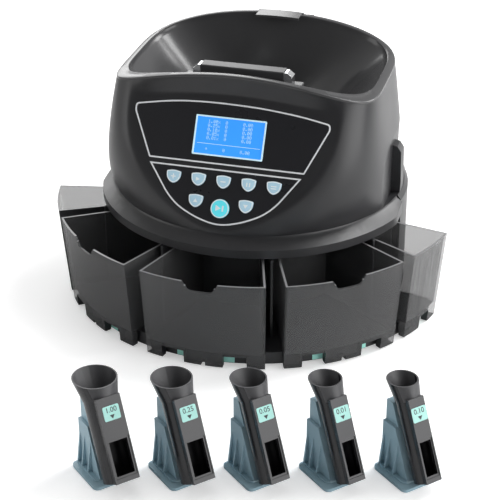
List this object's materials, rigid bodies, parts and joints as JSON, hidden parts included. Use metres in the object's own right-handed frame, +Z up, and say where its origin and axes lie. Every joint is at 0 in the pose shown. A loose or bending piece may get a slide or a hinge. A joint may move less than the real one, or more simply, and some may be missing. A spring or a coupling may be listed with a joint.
{
  "type": "coin sorting machine",
  "caption": "Round-bodied desktop coin sorter with sloping display panel, lifting hopper, sliding coin bins round the base, and loose coin tubes on slanted stands.",
  "frame": {"origin": "on the floor under the axis of the sorting disc, at the underside of the middle foot", "axes": "+Z up along the disc's axis, -Y to the front where the panel faces, +X to the viewer's right"},
  "size_m": [0.4599, 0.5814, 0.2644],
  "materials": {
    "black_abs": "satin",
    "bin_black": "satin",
    "panel_black": "smooth",
    "rubber": "matt",
    "label_mint": "matt print",
    "line_white": "print",
    "lcd_frame": "smooth",
    "lcd_blue": "lit",
    "key_blue": "soft touch",
    "key_cyan": "soft touch",
    "pcb": "resist",
    "hopper_grey": "smooth",
    "grip_black": "satin",
    "chrome": "polished",
    "steel": "brushed",
    "inner_grey": "matt",
    "gear_white": "matt",
    "motor_steel": "smooth",
    "tube_black": "smooth",
    "stand_slate": "satin"
  },
  "bodies": {
    "machine": {"base_tray": "black_abs", "base_feet": "rubber", "bay_labels": "label_mint", "bay_walls": "black_abs", "rear_cover": "black_abs", "lower_housing": "black_abs", "upper_housing": "black_abs", "panel_overlay": "panel_black", "panel_lines": "line_white", "lcd_frame": "lcd_frame", "lcd_screen": "lcd_blue", "panel_board": "pcb", "hinge_pin": "steel", "sorter_deck": "inner_grey", "coin_rail": "steel", "shaft_bearings": "steel", "drive_motor": "motor_steel", "motor_bracket": "steel", "coin_chutes": "inner_grey", "coin_sensors": "inner_grey", "main_board": "pcb", "power_supply": "steel", "power_inlet": "black_abs", "data_port": "steel", "housing_screws": "steel"},
    "bin_1": {"coin_bin_1": "bin_black"},
    "bin_2": {"coin_bin_2": "bin_black"},
    "bin_3": {"coin_bin_3": "bin_black"},
    "bin_4": {"coin_bin_4": "bin_black"},
    "bin_5": {"coin_bin_5": "bin_black"},
    "key_1_body": {"key_1": "key_blue"},
    "key_2_body": {"key_2": "key_blue"},
    "key_3_body": {"key_3": "key_blue"},
    "key_4_body": {"key_4": "key_blue"},
    "key_5_body": {"key_5": "key_blue"},
    "key_6_body": {"key_6": "key_blue"},
    "key_7_body": {"key_7": "key_blue"},
    "key_8_body": {"key_8": "key_cyan"},
    "hopper_body": {"hopper": "hopper_grey", "hopper_hinge": "hopper_grey", "handle_grip": "grip_black", "handle_brackets": "chrome"},
    "disc": {"sorting_disc": "steel", "agitator": "inner_grey", "drive_shaft": "steel", "drive_gear": "gear_white"},
    "pinion": {"motor_pinion": "steel"},
    "rocker": {"power_switch": "black_abs"},
    "stand_1": {"tube_stand_1": "stand_slate"},
    "tube_1": {"coin_tube_1": "tube_black"},
    "stand_2": {"tube_stand_2": "stand_slate"},
    "tube_2": {"coin_tube_2": "tube_black"},
    "stand_3": {"tube_stand_3": "stand_slate"},
    "tube_3": {"coin_tube_3": "tube_black"},
    "stand_4": {"tube_stand_4": "stand_slate"},
    "tube_4": {"coin_tube_4": "tube_black"},
    "stand_5": {"tube_stand_5": "stand_slate"},
    "tube_5": {"coin_tube_5": "tube_black"}
  },
  "joints": [
    {"name": "bin_1_slide", "type": "slide", "parent": "machine", "child": "bin_1", "axis": [-0.9367, -0.3502, 0], "range_m": [0, 0.08]},
    {"name": "bin_2_slide", "type": "slide", "parent": "machine", "child": "bin_2", "axis": [-0.6361, -0.7716, 0], "range_m": [0, 0.08]},
    {"name": "bin_3_slide", "type": "slide", "parent": "machine", "child": "bin_3", "axis": [0, -1, 0], "range_m": [0, 0.08]},
    {"name": "bin_4_slide", "type": "slide", "parent": "machine", "child": "bin_4", "axis": [0.6361, -0.7716, 0], "range_m": [0, 0.08]},
    {"name": "bin_5_slide", "type": "slide", "parent": "machine", "child": "bin_5", "axis": [0.9367, -0.3502, 0], "range_m": [0, 0.08]},
    {"name": "key_1_press", "type": "slide", "parent": "machine", "child": "key_1_body", "axis": [0, 0.8805, -0.4741], "range_m": [0, 0.001], "stiffness_N_per_m": 300},
    {"name": "key_2_press", "type": "slide", "parent": "machine", "child": "key_2_body", "axis": [0, 0.8805, -0.4741], "range_m": [0, 0.001], "stiffness_N_per_m": 300},
    {"name": "key_3_press", "type": "slide", "parent": "machine", "child": "key_3_body", "axis": [0, 0.8805, -0.4741], "range_m": [0, 0.001], "stiffness_N_per_m": 300},
    {"name": "key_4_press", "type": "slide", "parent": "machine", "child": "key_4_body", "axis": [0, 0.8805, -0.4741], "range_m": [0, 0.001], "stiffness_N_per_m": 300},
    {"name": "key_5_press", "type": "slide", "parent": "machine", "child": "key_5_body", "axis": [0, 0.8805, -0.4741], "range_m": [0, 0.001], "stiffness_N_per_m": 300},
    {"name": "key_6_press", "type": "slide", "parent": "machine", "child": "key_6_body", "axis": [0, 0.8805, -0.4741], "range_m": [0, 0.001], "stiffness_N_per_m": 300},
    {"name": "key_7_press", "type": "slide", "parent": "machine", "child": "key_7_body", "axis": [0, 0.8805, -0.4741], "range_m": [0, 0.001], "stiffness_N_per_m": 300},
    {"name": "key_8_press", "type": "slide", "parent": "machine", "child": "key_8_body", "axis": [0, 0.8805, -0.4741], "range_m": [0, 0.001], "stiffness_N_per_m": 300},
    {"name": "hopper_lift", "type": "hinge", "parent": "machine", "child": "hopper_body", "pos_m": [0, 0.095, 0.255], "axis": [-1, 0, 0], "range_deg": [0, 70]},
    {"name": "disc_spin", "type": "hinge", "parent": "machine", "child": "disc", "pos_m": [0, 0, 0.13], "axis": [0, 0, 1], "continuous": true},
    {"name": "motor_spin", "type": "hinge", "parent": "machine", "child": "pinion", "pos_m": [0, 0.045, 0.115], "axis": [0, 0, 1], "continuous": true},
    {"name": "power_rocker", "type": "hinge", "parent": "machine", "child": "rocker", "pos_m": [0.014, 0.15155, 0.062], "axis": [1, 0, 0], "range_deg": [-12, 0]},
    {"name": "stand_1_lift", "type": "slide", "parent": "machine", "child": "stand_1", "axis": [0, 0, 1], "range_m": [0, 0.15]},
    {"name": "tube_1_pull", "type": "slide", "parent": "stand_1", "child": "tube_1", "axis": [-0.3141, 0.2828, 0.9063], "range_m": [0, 0.1]},
    {"name": "stand_2_lift", "type": "slide", "parent": "machine", "child": "stand_2", "axis": [0, 0, 1], "range_m": [0, 0.15]},
    {"name": "tube_2_pull", "type": "slide", "parent": "stand_2", "child": "tube_2", "axis": [-0.3141, 0.2828, 0.9063], "range_m": [0, 0.1]},
    {"name": "stand_3_lift", "type": "slide", "parent": "machine", "child": "stand_3", "axis": [0, 0, 1], "range_m": [0, 0.15]},
    {"name": "tube_3_pull", "type": "slide", "parent": "stand_3", "child": "tube_3", "axis": [-0.3141, 0.2828, 0.9063], "range_m": [0, 0.1]},
    {"name": "stand_4_lift", "type": "slide", "parent": "machine", "child": "stand_4", "axis": [0, 0, 1], "range_m": [0, 0.15]},
    {"name": "tube_4_pull", "type": "slide", "parent": "stand_4", "child": "tube_4", "axis": [-0.3141, 0.2828, 0.9063], "range_m": [0, 0.1]},
    {"name": "stand_5_lift", "type": "slide", "parent": "machine", "child": "stand_5", "axis": [0, 0, 1], "range_m": [0, 0.15]},
    {"name": "tube_5_pull", "type": "slide", "parent": "stand_5", "child": "tube_5", "axis": [-0.3141, 0.2828, 0.9063], "range_m": [0, 0.1]}
  ],
  "couplings": [
    {"joint": "motor_spin", "follows": "disc_spin", "ratio": -5}
  ]
}
